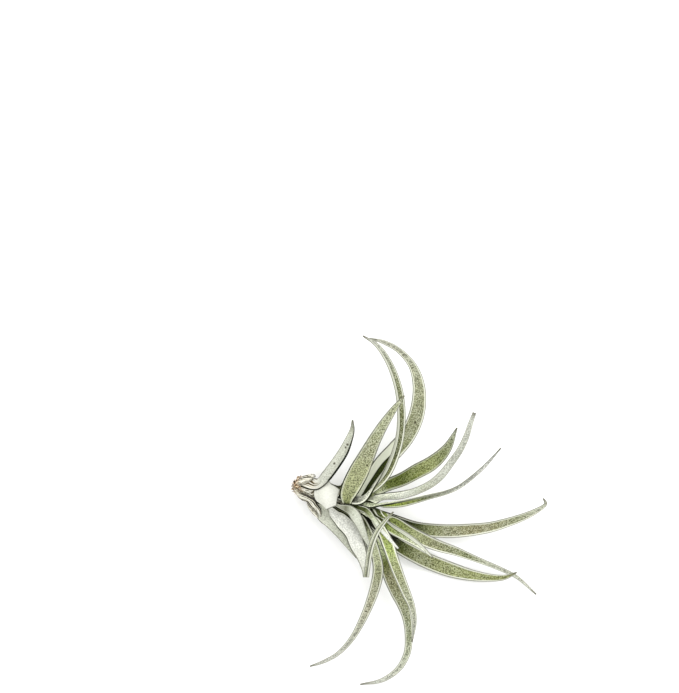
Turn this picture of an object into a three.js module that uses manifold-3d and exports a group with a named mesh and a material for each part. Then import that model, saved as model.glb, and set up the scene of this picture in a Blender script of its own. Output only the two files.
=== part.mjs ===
// Harrisii air plant, bare and trimmed as it is sold, lying on its side on a flat surface.
// Millimetres, +Z up. Seen from above, X runs to the right and Y up the picture.
// The origin is on the surface, below the middle of the plant.
import * as THREE from 'three';
import Module from 'manifold-3d';
import { mergeVertices } from 'three/addons/utils/BufferGeometryUtils.js';

// The short woody stem runs up from its broken end to the bud, a third of the way off the surface.
const brokenEnd = new THREE.Vector3(-56.5, 12, 6);
const stemHeading = -19;
const stemRise = 30;
const stemRadius = 4.8;
const stemLength = 41;
const taperStart = 6;
const taper = 0.72;
const wornLength = 7;
const wornEnd = 0.48;
const budLength = 12;

// Every leaf starts as a sheath wrapped round the stem. Three leaves share a tier, the tiers follow
// each other up the stem, and each sheath leans out just enough to clear the tier inside it.
const tierPlaces = [1.5, 6, 11, 16, 20.5, 25, 29, 33, 37];
const sheathLean = 0.25;
const sheathThickness = 0.65;
const clearance = 0.3;

// A blade is a channelled strip: thick along its keel, thin at both margins.
const keelThickness = 0.95;
const marginThickness = 0.62;
const tipWidth = 0.75;
const stationsAcross = 4;
const ringsPerSpan = 2;

const colours = {
  bark: '#7a6547', dry: '#b5b297', pale: '#d6d8c9', cream: '#f3f3ea',
  olive: '#a3a67f', green: '#93a168', white: '#e6e7dc',
};

// Each leaf: its tier, the side of the stem it grows from (degrees, 0 faces up, 90 up the picture),
// half the angle its sheath wraps, where along the stem the sheath lets go, and the rows of its blade.
// A row is the keel point x, y, z, the width across, and the lean of the upper face in degrees:
// 0 looks up, a positive lean turns it to the leaf's right hand, and 180 shows the underside.
// Some leaves say more: where the sheath starts when that isn't with its tier, how much it leans out,
// which way the face looks at lean 0, how far a sheath bulges, how its rim turns in, how much its ends
// are rounded off, and how many degrees it twists round the stem either way from its middle. A leaf
// without a place where the sheath lets go is only a blade that starts in the crown.
const leaves = [
  { name: 'dry_tongue', tier: 0, side: -68, wrap: 43, free: 10.2, lean: 0.17, channel: 90,
    colour: 'dry', rows: [
      [-49, 1.7, 12.9, 5.6, 215], [-47.1, -0.6, 12.4, 4.8, 200], [-45.9, -2.9, 11.8, 2.2, 190]] },
  { name: 'trimmed_leaf', tier: 1, side: 32, wrap: 36, free: 9.5, channel: 95, colour: 'pale', rows: [
    [-46.9, 12.2, 19.4, 5.2, 165], [-43.2, 15.4, 22.4, 5.4, 165], [-39.2, 20.6, 24, 5.4, 165],
    [-35.1, 26.8, 25, 5.0, 165], [-32.9, 31.5, 26.2, 3.9, 165], [-31.1, 36.5, 27.2, 2.3, 165],
    [-30.8, 41.0, 28, 0, 165]] },
  { name: 'outer_short_leaf', tier: 1, start: 8, side: -100, wrap: 30, free: 11.5, lean: 0.1, channel: 80,
    colour: 'dry', rows: [
      [-43.9, -1.5, 10.2, 8.8, 202], [-40.2, -5.2, 9.6, 8, 200], [-36, -10.3, 8.4, 6, 195],
      [-32.4, -15.8, 6.2, 3.4, 190], [-28.9, -21.5, 4.4, 0, 190]] },
  { name: 'under_leaf_upper', tier: 2, side: 122, wrap: 42, free: 17, channel: 90, colour: 'dry', rows: [
    [-35.6, 9.8, 9.2, 5, 10], [-28.8, 17, 3.8, 5.0, 5], [-25.6, 24, 1, 4.4, 0], [-22.4, 30.5, 0.35, 3.4, 0],
    [-19.6, 36.5, 1.4, 0, 0]] },
  { name: 'cut_sheath', tier: 2, start: 13.3, side: -4, wrap: 67, free: 25.5, bulge: 1.8, rim: -1.4,
    rounding: 0.25, twist: 14, channel: 150, colour: 'cream', rows: [] },
  { name: 'under_leaf_lower', tier: 2, start: 13.2, side: -150, wrap: 26, free: 16, channel: 90,
    colour: 'dry', rows: [
      [-36.5, 1.5, 7, 5.6, 0], [-31.8, -5.5, 3.2, 5.4, 0], [-28.3, -11.5, 0.6, 4.8, 0],
      [-25.8, -17, 0.35, 3.6, 0], [-24.2, -22.5, 1.4, 0, 0]] },
  { name: 'hooked_leaf', tier: 3, side: -92, wrap: 33, free: 18.6, channel: 65, colour: 'pale',
    look: [1, 0, 0], rows: [
      [-39.2, -1.6, 17, 5.4, -45], [-36.1, -4.2, 19.8, 7.4, -55], [-31.3, -9.4, 22.4, 7.6, -66],
      [-28.7, -15.3, 24.6, 7.2, -80], [-26.3, -21.2, 27.8, 4.8, -90], [-25, -26.2, 32, 3.3, -90],
      [-24.8, -29.1, 37.4, 2.6, -90], [-24.3, -25.5, 42.6, 2.5, -90], [-22.9, -16.8, 46.4, 2.7, -90],
      [-20.6, -10.3, 48.4, 2.5, -90], [-18, -6.1, 49.4, 2.2, -90], [-12.6, 0, 50.6, 0, -90]] },
  { name: 'under_leaf_right', tier: 3, side: 176, wrap: 46, free: 22, channel: 90, colour: 'dry', rows: [
    [-30, 2.6, 10.5, 5.4, 0], [-21, -1, 5.6, 5, 0], [-11.5, -5.2, 2, 4.6, 0], [-2, -8.2, 0.4, 4.4, 0],
    [8, -9.4, 0.25, 4, 0], [16, -9.2, 0.8, 3, 0], [23, -8.2, 1.6, 0, 0]] },
  { name: 'front_leaf', tier: 4, channel: 60, colour: 'olive', rows: [
    [-33.4, 3.6, 26.8, 4.4, 0], [-33.2, 6.8, 27.5, 7, 4], [-31.6, 11, 28.6, 8.8, 8],
    [-28, 18.4, 30.6, 9.4, 12], [-24.8, 24.8, 33.2, 7.9, 12], [-21.2, 31.9, 36.5, 6.1, 10],
    [-17.2, 38.8, 39.8, 4.7, 10], [-12, 46.4, 42.4, 2.8, 10], [-7.6, 52, 43.6, 0, 10]] },
  { name: 'short_sheath', tier: 4, start: 22.4, side: -43, wrap: 18, free: 27.5, channel: 70,
    colour: 'pale', rows: [
      [-31.7, 0.2, 27.2, 4.4, 190], [-29.4, -2.4, 28.4, 5, 180], [-27.4, -6.2, 28.2, 3.9, 180],
      [-25.7, -10.4, 27.4, 2.9, 180], [-24.2, -13.8, 26.6, 1.7, 180], [-23.2, -16.2, 26, 0, 180]] },
  { name: 'low_right_leaf', tier: 4, side: -148, wrap: 40, free: 27, channel: 60, colour: 'olive', rows: [
    [-21.5, -5.4, 10.3, 6.4, -10], [-14.8, -12.2, 6.5, 7.1, -12], [-9.5, -16.3, 4.3, 7.3, -14],
    [-2.7, -20.2, 2.2, 7.5, -14], [4, -23.4, 1, 7.4, -10], [13.1, -26.8, 0.35, 7.1, -8],
    [22.1, -29.2, 1.4, 5.5, -8], [31.1, -30.4, 3.4, 3.6, -8], [37.8, -30.2, 5.6, 2.3, -8],
    [43.2, -27.9, 8, 0, -8]] },
  { name: 'tall_narrow_leaf', tier: 5, side: 29, wrap: 39, free: 31.5, channel: 115, colour: 'olive', rows: [
    [-27, 5.7, 28.4, 6, 125], [-21.2, 11.2, 30.4, 7, 75], [-16.2, 17.6, 31.4, 6.6, 48],
    [-12.3, 26, 31.8, 5.8, 40], [-10, 35, 31.8, 5.2, 35], [-9.5, 45.5, 31.6, 4.9, 30],
    [-10.7, 55.5, 31, 4.4, 25], [-14.6, 66.5, 29.6, 3.4, 20], [-20.2, 74.7, 28, 2.2, 20],
    [-26.2, 78.8, 26.6, 0, 20]] },
  { name: 'tall_wide_leaf', tier: 5, side: 137, wrap: 40, free: 31, channel: 75, colour: 'olive', rows: [
    [-23.9, 13, 17.4, 7.4, 30], [-18.4, 21.2, 16.8, 8.6, 28], [-12.4, 27.4, 17, 9, 26],
    [-7.2, 33.4, 18, 8.6, 24], [-3.2, 41, 19.4, 8.2, 22], [-1.3, 49, 20.8, 7.3, 18],
    [-1.4, 57.5, 21.8, 5.8, 14], [-4, 65.4, 22, 3.9, 10], [-10, 72.2, 21.2, 2.6, 10],
    [-17, 76, 19.6, 1.9, 10], [-23, 77.6, 18.2, 0, 10]] },
  { name: 'long_bottom_leaf', tier: 5, side: -112, wrap: 46, free: 31, channel: 75, colour: 'olive', rows: [
    [-25.4, -7.4, 16.4, 4.8, -10], [-19.8, -15.3, 13.8, 5.4, -14], [-16.6, -22.9, 12, 6.3, -20],
    [-14.2, -29.9, 10.6, 7.2, -24], [-11.2, -36.5, 9.4, 7.2, -24], [-8.4, -42, 8.4, 6.3, -20],
    [-6.4, -48, 7.4, 4.8, -14], [-5.5, -56, 6.2, 3.8, -10], [-6.3, -64.6, 4.8, 3.2, -6],
    [-10.2, -71.6, 3.4, 2.6, 0], [-17.6, -76.7, 2.3, 1.8, 0], [-27.4, -78.6, 1.5, 0, 0]] },
  { name: 'right_broad_leaf', tier: 6, side: 110, wrap: 46, free: 34.5, channel: 65, colour: 'green', rows: [
    [-20.7, 9.2, 19.4, 5.4, 20], [-14.4, 12.2, 17.6, 6.4, 24], [-8.5, 14.6, 16.2, 7.2, 26],
    [-2, 18.2, 15.2, 7.8, 26], [3.4, 21, 15.2, 7.6, 24], [8.2, 24.6, 16, 6.4, 20],
    [12, 29, 17.2, 4.4, 16], [16.2, 37.4, 19.6, 0, 14]] },
  { name: 'long_right_leaf', tier: 6, side: -172, wrap: 24, free: 34, channel: 80, colour: 'olive', rows: [
    [-19.6, -1.2, 17, 4.6, 16], [-11.7, -3.9, 13.6, 5.2, 20], [-3.4, -7, 10.8, 6.4, 24],
    [4.6, -8.4, 9, 7.2, 26], [13.1, -8.8, 8, 7.2, 26], [22.1, -8.3, 7.4, 6.7, 26],
    [31.1, -7.2, 7.2, 5.6, 24], [38.4, -5.3, 7.4, 4.7, 22], [45.6, -2.9, 8, 3.8, 20],
    [51.8, -0.1, 9.2, 2.7, 20], [56.2, 3.1, 10.8, 1.5, 20], [55.2, 5.5, 12.2, 0, 20]] },
  { name: 'lower_left_leaf', tier: 6, side: -98, wrap: 40, free: 34, channel: 80, colour: 'olive', rows: [
    [-25.6, -6.2, 20.6, 4.2, -20], [-22.4, -13.2, 19, 4.4, -16], [-20.3, -20.2, 18, 4.8, -12],
    [-19.4, -26.6, 16.8, 5.2, -10], [-20.4, -33, 15, 5, -8], [-22.7, -40.6, 12.4, 4.3, -4],
    [-26.2, -49, 9.4, 3.4, 0], [-31, -57.6, 6.6, 2.5, 0], [-37.4, -64.6, 4.2, 1.8, 0],
    [-44, -68.3, 2.6, 1.4, 0], [-50, -70.4, 1.6, 0, 0]] },
  { name: 'right_pale_leaf', tier: 7, side: 103, wrap: 38, free: 38, channel: 80, colour: 'pale', rows: [
    [-17.6, 6.2, 25.8, 3.8, 210], [-9.5, 7, 26.4, 3.8, 195], [-2.7, 8.8, 26.6, 3.4, 190],
    [4, 11.9, 27, 3.5, 190], [8.8, 15.8, 28, 3.6, 190], [13.1, 21.2, 29, 3.4, 190],
    [17.4, 27.4, 30, 3.1, 190], [20.2, 33.3, 31, 2.8, 190], [22.1, 39.1, 31.6, 2.3, 190],
    [23.9, 44.3, 32, 1.6, 190]] },
  { name: 'narrow_right_leaf', tier: 7, side: -150, wrap: 44, free: 38, channel: 75, colour: 'olive', rows: [
    [-17, -2.8, 20.6, 4.4, 20], [-11.7, -4.4, 19.6, 5, 22], [-5, -9, 18, 6.2, 22],
    [1.8, -12.9, 16.2, 6.5, 20], [8.6, -15.8, 14.4, 5.6, 18], [15.3, -18, 12.2, 4.5, 16],
    [22.1, -20.7, 9.6, 3.3, 14], [28.8, -23.4, 6.8, 2.4, 10], [36, -26.4, 4, 1.9, 8],
    [43.2, -30, 2.2, 1.5, 0], [52.2, -38, 1.2, 0, 0]] },
  { name: 'white_spike', tier: 8, start: 32.5, side: -10, wrap: 20, free: 41.5, channel: 110,
    colour: 'white', rows: [
      [-20.8, -4.4, 31.2, 1.9, 180], [-17.7, -8.6, 32.8, 1.8, 180], [-14.4, -12.3, 34.2, 1.5, 180],
      [-10.4, -16.6, 35.6, 0, 180]] },
  { name: 'thin_right_leaf', tier: 8, side: 50, wrap: 36, free: 41.5, channel: 120, colour: 'green', rows: [
    [-17.6, 3.3, 31.4, 5.4, 80], [-9.5, 4.2, 33, 6, 64], [-2.7, 5.6, 33.6, 5.2, 60],
    [4, 7.2, 33.6, 4.2, 58], [10.8, 8.8, 33, 3.4, 55], [16.3, 11, 32.4, 2.9, 50],
    [21.6, 14.6, 31.8, 2.5, 40], [28.6, 20.6, 30.8, 1.8, 30], [35.8, 28.4, 29.8, 0, 30]] },
  { name: 'inner_short_leaf', tier: 8, side: -134, wrap: 30, free: 41, channel: 85, colour: 'green', rows: [
    [-18.2, -3.8, 24.6, 4.4, 20], [-13.1, -7.7, 24.6, 5.2, 26], [-7.7, -10.8, 23.8, 4.8, 26],
    [-2.7, -14, 22.4, 3.4, 20], [1.2, -17.1, 21, 2, 20], [5.4, -21.1, 19.4, 0, 20]] },
  { name: 'bright_green_leaf', tier: 8, side: -66, wrap: 26, free: 41, channel: 80, colour: 'green', rows: [
    [-20.6, -4.6, 28.2, 4.4, -16], [-17.8, -9, 28.8, 5.2, -16], [-15.3, -14.6, 28.2, 6.1, -18],
    [-13.3, -20.4, 26.6, 5.7, -18], [-11.2, -26.1, 24.4, 5.3, -16], [-9, -31.5, 22, 4.8, -14],
    [-6.6, -37.2, 19.4, 4.2, -10], [-4.2, -43, 16.8, 3.1, -8], [-3, -50, 13.8, 2.1, -4],
    [-4, -59.2, 10, 0, 0]] },
];

// Dry bases of the oldest leaves clasp the broken end and are worn off where they leave the stem.
const dryBases = [
  { name: 'dry_base_top', side: 50, wrap: 57, free: 10, narrowing: 0.7 },
  { name: 'dry_base_under', side: 178, wrap: 50, free: 9, narrowing: 0.8 },
];

const degrees = THREE.MathUtils.degToRad;
const up = new THREE.Vector3(0, 0, 1);
const wasm = await Module();
wasm.setup();

// Unit vectors of the stem: along it, out of it towards the sky, and out of it up the picture.
const stemAlong = new THREE.Vector3(
  Math.cos(degrees(stemRise)) * Math.cos(degrees(stemHeading)),
  Math.cos(degrees(stemRise)) * Math.sin(degrees(stemHeading)),
  Math.sin(degrees(stemRise)));
const stemSide = new THREE.Vector3().crossVectors(up, stemAlong).normalize();
const stemTop = new THREE.Vector3().crossVectors(stemAlong, stemSide);

function outward(side) {
  return stemTop.clone().multiplyScalar(Math.cos(degrees(side)))
    .addScaledVector(stemSide, Math.sin(degrees(side)));
}

function stemPoint(along) {
  return brokenEnd.clone().addScaledVector(stemAlong, along);
}

// The stem is worn thin at its broken end, full under the dry bases, and narrows steadily to the bud.
function coreRadius(along) {
  const share = THREE.MathUtils.clamp((along - taperStart) / (stemLength - taperStart), 0, 1);
  const worn = THREE.MathUtils.lerp(wornEnd, 1, Math.min(along / wornLength, 1));
  return stemRadius * worn * (1 - taper * share ** 0.7);
}

function sheathStart(leaf) {
  return leaf.start ?? tierPlaces[leaf.tier];
}

function sheathRadius(leaf, along) {
  const start = sheathStart(leaf);
  const share = (along - start) / (leaf.free - start);
  const swell = (leaf.bulge ?? 0) * Math.sin(Math.PI * share) ** 2 + (leaf.rim ?? 0) * share ** 3;
  const lean = (leaf.lean ?? sheathLean) * (along - start);
  return coreRadius(along) + clearance + sheathThickness / 2 + lean + swell;
}

// A station of a leaf: keel point, the way the upper face looks, radius and half angle of its arc.
function sheathStation(leaf, along, side, wrap) {
  const out = outward(side);
  const radius = sheathRadius(leaf, along);
  return {
    point: stemPoint(along).addScaledVector(out, radius), face: out.negate(),
    halfWidth: radius * degrees(wrap), halfAngle: degrees(wrap), sheath: 1,
  };
}

function bladeStation(leaf, row, heading) {
  const [x, y, z, width, lean] = row;
  const look = new THREE.Vector3(...(leaf.look ?? [0, 0, 1]));
  const flat = look.addScaledVector(heading, -look.dot(heading)).normalize();
  const right = new THREE.Vector3().crossVectors(heading, flat);
  const face = flat.multiplyScalar(Math.cos(degrees(lean)))
    .addScaledVector(right, Math.sin(degrees(lean)));
  return {
    point: new THREE.Vector3(x, y, z), face, halfWidth: Math.max(width, tipWidth) / 2,
    halfAngle: degrees(leaf.channel) / 2, sheath: 0,
  };
}

function leafStations(leaf) {
  const start = sheathStart(leaf);
  const shares = leaf.rows.length ? [0, 0.5, 1] : [0, 0.2, 0.4, 0.6, 0.8, 1];
  const stations = leaf.free === undefined ? [] : shares.map((share) => {
    const fromMiddle = 2 * share - 1;
    const side = leaf.side + (leaf.twist ?? 0) * fromMiddle;
    const wrap = leaf.wrap * (1 - (leaf.rounding ?? 0) * fromMiddle ** 2);
    return sheathStation(leaf, THREE.MathUtils.lerp(start, leaf.free, share), side, wrap);
  });
  const keel = stations.slice(-1).map((s) => s.point);
  leaf.rows.forEach((row) => keel.push(new THREE.Vector3(...row)));
  const first = keel.length - leaf.rows.length;
  leaf.rows.forEach((row, index) => {
    const before = keel[Math.max(index + first - 1, 0)];
    const after = keel[Math.min(index + first + 1, keel.length - 1)];
    const heading = after.clone().sub(before).normalize();
    stations.push(bladeStation(leaf, row, heading));
  });
  return stations;
}

// Rings between the stations: a smooth keel, with every other value eased from one to the next.
function leafRings(stations) {
  const keel = new THREE.CatmullRomCurve3(stations.map((s) => s.point), false, 'centripetal');
  const spans = stations.length - 1;
  return Array.from({ length: spans * ringsPerSpan + 1 }, (_, index) => {
    const t = index / (spans * ringsPerSpan);
    const span = Math.min(Math.floor(t * spans), spans - 1);
    const ease = t * spans - span;
    const [a, b] = [stations[span], stations[span + 1]];
    const tangent = keel.getTangent(t);
    const face = a.face.clone().lerp(b.face, ease);
    face.addScaledVector(tangent, -face.dot(tangent)).normalize();
    const blend = (key) => THREE.MathUtils.lerp(a[key], b[key], ease);
    return {
      point: keel.getPoint(t), face, across: new THREE.Vector3().crossVectors(tangent, face),
      halfWidth: blend('halfWidth'), halfAngle: blend('halfAngle'), sheath: blend('sheath'),
    };
  });
}

// One closed skin: the upper face of every ring from margin to margin, then the underside back.
function leafSection(ring) {
  const radius = ring.halfWidth / ring.halfAngle;
  const upper = [];
  const under = [];
  for (let step = 0; step <= stationsAcross; step++) {
    const share = (2 * step) / stationsAcross - 1;
    const angle = share * ring.halfAngle;
    const outer = ring.across.clone().multiplyScalar(Math.sin(angle))
      .addScaledVector(ring.face, -Math.cos(angle));
    const middle = ring.point.clone().addScaledVector(ring.face, radius)
      .addScaledVector(outer, radius);
    const blade = THREE.MathUtils.lerp(keelThickness, marginThickness, Math.abs(share));
    const slim = THREE.MathUtils.clamp(ring.halfWidth / 1.5, 0, 1);
    const thin = THREE.MathUtils.lerp(marginThickness, blade, slim);
    const half = THREE.MathUtils.lerp(thin, sheathThickness, ring.sheath) / 2;
    upper.push(middle.clone().addScaledVector(outer, -half));
    under.unshift(middle.clone().addScaledVector(outer, half));
  }
  return [...upper, ...under];
}

function loft(sections) {
  const count = sections[0].length;
  const positions = sections.flat().flatMap((p) => [p.x, p.y, p.z]);
  const faces = [];
  for (let ring = 0; ring + 1 < sections.length; ring++) {
    for (let side = 0; side < count; side++) {
      const next = (side + 1) % count;
      const [a, b] = [ring * count + side, ring * count + next];
      const mirrored = side >= count / 2;
      if (mirrored) faces.push(a, b, a + count, b, b + count, a + count);
      else faces.push(a, b, b + count, a, b + count, a + count);
    }
  }
  const last = (sections.length - 1) * count;
  for (let side = 0; side < count / 2 - 1; side++) {
    const far = count - 1 - side;
    faces.push(side, far, side + 1, side + 1, far, far - 1);
    faces.push(last + side, last + side + 1, last + far, last + side + 1, last + far - 1, last + far);
  }
  const geometry = new THREE.BufferGeometry();
  geometry.setAttribute('position', new THREE.Float32BufferAttribute(positions, 3));
  geometry.setIndex(faces);
  return geometry;
}

function solid(geometry) {
  geometry.deleteAttribute('normal');
  geometry.deleteAttribute('uv');
  const merged = mergeVertices(geometry, 1e-4);
  return new wasm.Manifold(new wasm.Mesh({
    numProp: 3,
    vertProperties: Float32Array.from(merged.attributes.position.array),
    triVerts: Uint32Array.from(merged.index.array),
  }));
}

function surface(body) {
  const mesh = body.getMesh();
  const geometry = new THREE.BufferGeometry();
  geometry.setAttribute('position', new THREE.Float32BufferAttribute(mesh.vertProperties, 3));
  geometry.setIndex(Array.from(mesh.triVerts));
  return geometry;
}

// A leaf that lies on the surface is flat where it touches it.
const belowSurface = solid(new THREE.BoxGeometry(200, 200, 20).translate(0, 0, -10));

function leafGeometry(leaf) {
  const geometry = loft(leafRings(leafStations(leaf)).map(leafSection));
  geometry.computeBoundingBox();
  if (geometry.boundingBox.min.z >= 0) return geometry;
  return surface(solid(geometry).subtract(belowSurface));
}

function dryBaseGeometry(base) {
  const leaf = { ...base, tier: 0 };
  const shares = [0, 0.25, 0.5, 0.75, 1];
  const stations = shares.map((share) => {
    const along = THREE.MathUtils.lerp(tierPlaces[0], base.free, share);
    return sheathStation(leaf, along, base.side, base.wrap * (1 - base.narrowing * share ** 2));
  });
  return loft(leafRings(stations).map(leafSection));
}

// Root stubs: side of the stem, how far out of the middle it starts and leans, and free length.
const rootStubs = [
  [180, 0.9, 4.3], [20, 0.7, 0.6], [95, 0.8, 1.2], [150, 0.5, 0.6], [-60, 0.9, 0.8], [-120, 0.6, 0.5],
];
const rootThickEnd = 0.55;
const rootThinEnd = 0.35;
const rootBuried = 1.5;
const rootsOut = 3.2;

// The stem: a smooth core, a little narrower at its broken end, with stubs of the wiry roots that held it.
function stemGeometry() {
  const brokenEdge = 0.85;
  const ringEvery = 2.5;
  const profile = [new THREE.Vector2(0, 0), new THREE.Vector2(coreRadius(0) * brokenEdge, 0)];
  for (let along = ringEvery; along <= stemLength; along += ringEvery) {
    profile.push(new THREE.Vector2(coreRadius(along), along));
  }
  profile.push(new THREE.Vector2(0, stemLength));
  const core = new THREE.LatheGeometry(profile, 14);
  const turn = new THREE.Quaternion().setFromUnitVectors(new THREE.Vector3(0, 1, 0), stemAlong);
  core.applyQuaternion(turn).translate(...brokenEnd.toArray());
  let body = solid(core);
  rootStubs.forEach(([side, from, length]) => {
    const root = new THREE.CylinderGeometry(rootThinEnd, rootThickEnd, length + 2 * rootBuried, 6)
      .translate(0, length / 2 - rootBuried, 0);
    const way = outward(side).multiplyScalar(from).addScaledVector(stemAlong, -1).normalize();
    root.applyQuaternion(new THREE.Quaternion().setFromUnitVectors(new THREE.Vector3(0, 1, 0), way));
    const foot = stemPoint(0.4).addScaledVector(outward(side), from * rootsOut);
    body = body.add(solid(root.translate(...foot.toArray())));
  });
  return surface(body.subtract(belowSurface));
}

// The bud of rolled young leaves that closes the middle of the crown.
function budGeometry() {
  const radius = coreRadius(stemLength);
  const profile = [[0, 0], [0.8, 0], [1.15, 0.2], [1.3, 0.4], [1.0, 0.65], [0.5, 0.88], [0, 1]]
    .map(([out, along]) => new THREE.Vector2(out * radius, along * budLength));
  const bud = new THREE.LatheGeometry(profile, 10);
  const turn = new THREE.Quaternion().setFromUnitVectors(new THREE.Vector3(0, 1, 0), stemAlong);
  return bud.applyQuaternion(turn).translate(...stemPoint(stemLength + clearance).toArray());
}

const plant = new THREE.Group();

function place(name, geometry, colour, roughness = 0.75) {
  const material = new THREE.MeshStandardMaterial({ color: colours[colour], roughness, metalness: 0 });
  const mesh = new THREE.Mesh(geometry, material);
  mesh.name = name;
  plant.add(mesh);
}

place('stem', stemGeometry(), 'bark', 0.95);
dryBases.forEach((base) => place(base.name, dryBaseGeometry(base), 'dry', 0.9));
leaves.forEach((leaf) => place(leaf.name, leafGeometry(leaf), leaf.colour));
place('bud', budGeometry(), 'green');

export default plant;
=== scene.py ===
import bpy
import bmesh
import random
from math import atan2, cos, pi, radians, sin
from mathutils import Matrix, Vector, noise
from mathutils.geometry import interpolate_bezier


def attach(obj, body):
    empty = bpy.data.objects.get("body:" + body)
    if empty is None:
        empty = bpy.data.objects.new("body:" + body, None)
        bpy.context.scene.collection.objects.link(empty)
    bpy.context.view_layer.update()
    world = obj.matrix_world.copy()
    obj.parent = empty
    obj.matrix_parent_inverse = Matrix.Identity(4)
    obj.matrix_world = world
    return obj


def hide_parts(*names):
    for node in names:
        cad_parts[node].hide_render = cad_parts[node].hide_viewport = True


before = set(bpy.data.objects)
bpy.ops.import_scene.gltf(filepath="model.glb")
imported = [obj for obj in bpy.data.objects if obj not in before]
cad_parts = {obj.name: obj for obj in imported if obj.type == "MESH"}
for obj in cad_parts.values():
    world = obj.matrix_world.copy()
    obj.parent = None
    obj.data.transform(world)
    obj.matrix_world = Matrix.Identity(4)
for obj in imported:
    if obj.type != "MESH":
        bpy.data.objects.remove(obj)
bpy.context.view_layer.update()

# The camera hangs straight above the white ground the plant lies on, a long way off, so that a
# millimetre measures the same on a high leaf as on a low one. The plant is low in the picture.
MM = 0.001
picture_middle = Vector((-36.7, 74.0)) * MM
picture_rows = 693
pixel_size = 0.45 * MM
picture_height = picture_rows * pixel_size
plant_level = 20 * MM
camera_data = bpy.data.cameras.new("camera")
camera_data.type = "PERSP"
camera_data.lens = 600
camera_data.sensor_width = 36
camera_data.clip_end = 50
camera = bpy.data.objects.new("camera", camera_data)
camera_height = plant_level + picture_height * camera_data.lens / camera_data.sensor_width
camera.location = (picture_middle.x, picture_middle.y, camera_height)
bpy.context.scene.collection.objects.link(camera)
bpy.context.scene.camera = camera

# The ground is white card, lit past pure white, so that only faint shadows are left under the leaves.
# The light is even, with a broad lamp high on the upper right. Colours below are given as they look
# on a level face in this light, and are darkened by its strength where they enter a material.
light_level = 1.8
bpy.context.scene.view_settings.view_transform = "Standard"


def linear(colour):
    channels = [int(colour[i:i + 2], 16) / 255 for i in (1, 3, 5)]
    curve = [c / 12.92 if c <= 0.04045 else ((c + 0.055) / 1.055) ** 2.4 for c in channels]
    return (*curve, 1)


def add(tree, kind, settings, links=None):
    node = tree.nodes.new(kind)
    for key, value in settings.items():
        if key == "stops":
            ramp = node.color_ramp.elements
            for place, colour in value[1:-1]:
                ramp.new(place)
            for element, (place, colour) in zip(ramp, value):
                element.position = place
                element.color = linear(colour)
        elif isinstance(key, int) or key in node.inputs:
            node.inputs[key].default_value = value
        else:
            setattr(node, key, value)
    for key, socket in (links or {}).items():
        tree.links.new(socket, node.inputs[key])
    return node


card = bpy.data.materials.new("white matt card")
card.use_nodes = True
card_shader = card.node_tree.nodes["Principled BSDF"]
card_shader.inputs["Base Color"].default_value = linear("#e4e4e3")
card_shader.inputs["Roughness"].default_value = 0.9
ground_mesh = bmesh.new()
bmesh.ops.create_grid(ground_mesh, x_segments=1, y_segments=1, size=3)
bmesh.ops.translate(ground_mesh, verts=ground_mesh.verts, vec=(0, 0, -0.05 * MM))
ground_data = bpy.data.meshes.new("ground")
ground_mesh.to_mesh(ground_data)
ground_mesh.free()
ground_data.materials.append(card)
ground = bpy.data.objects.new("ground", ground_data)
bpy.context.scene.collection.objects.link(ground)

sky = bpy.data.worlds.new("studio")
sky.use_nodes = True
sky.node_tree.nodes["Background"].inputs["Color"].default_value = (1, 1, 1, 1)
sky.node_tree.nodes["Background"].inputs["Strength"].default_value = 1.78
bpy.context.scene.world = sky
lamp_data = bpy.data.lights.new("lamp", "AREA")
lamp_data.shape = "DISK"
lamp_data.size = 0.8
lamp_data.energy = 9
lamp = bpy.data.objects.new("lamp", lamp_data)
lamp.location = (0.45, 0.65, 1.1)
lamp.rotation_euler = (-lamp.location).to_track_quat("-Z", "Y").to_euler()
bpy.context.scene.collection.objects.link(lamp)

# The stem is a short woody rod, broken off at its lower end, where its fibres and the stubs of a
# few wiry roots stand out. It rises a third of a right angle from the ground to the bud.
broken_end = Vector((-56.5, 12, 6))
stem_heading = radians(-19)
stem_rise = radians(30)
stem_radius = 4.8
stem_length = 41
fibre_count = 150
stem_along = Vector((cos(stem_rise) * cos(stem_heading), cos(stem_rise) * sin(stem_heading), sin(stem_rise)))
stem_side = Vector((0, 0, 1)).cross(stem_along).normalized()
stem_top = stem_along.cross(stem_side)
# Each root stub: the side it leaves from, how far out, and its length.
root_stubs = [(180, 0.9, 4.3), (20, 0.7, 0.6), (95, 0.8, 1.2), (150, 0.5, 0.6), (-60, 0.9, 0.8),
              (-120, 0.6, 0.5)]
stub_ring = 3.2
stub_foot = 1.5
stub_thickness = (0.55, 0.35)
fibre_length = (0.8, 1.8)
fibre_thickness = (0.14, 0.26)
fibre_tip = 0.05
worn_length = 7
broken_share = 0.48
taper_start = 6
top_share = 0.28
taper_bend = 0.7


def outward(side):
    return stem_top * cos(radians(side)) + stem_side * sin(radians(side))


def stem_point(along):
    return broken_end + stem_along * along


def core_radius(along):
    taper = min(max((along - taper_start) / (stem_length - taper_start), 0), 1)
    worn = broken_share + (1 - broken_share) * min(max(along, 0) / worn_length, 1)
    return stem_radius * worn * (1 - (1 - top_share) * taper ** taper_bend)


def finish_piece(name, mesh, material, node):
    bmesh.ops.scale(mesh, vec=(MM, MM, MM), verts=mesh.verts)
    data = bpy.data.meshes.new(name)
    mesh.to_mesh(data)
    mesh.free()
    data.materials.append(material)
    data.shade_smooth()
    piece = bpy.data.objects.new(name, data)
    bpy.context.scene.collection.objects.link(piece)
    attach(piece, "root")
    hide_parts(node)
    return piece


def spike(mesh, foot, way, length, thick, thin):
    turn = Vector((0, 0, 1)).rotation_difference(way).to_matrix().to_4x4()
    place = Matrix.Translation(foot + way * length / 2) @ turn
    bmesh.ops.create_cone(mesh, cap_ends=True, cap_tris=False, segments=5, radius1=thick, radius2=thin,
                          depth=length, matrix=place)


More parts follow.
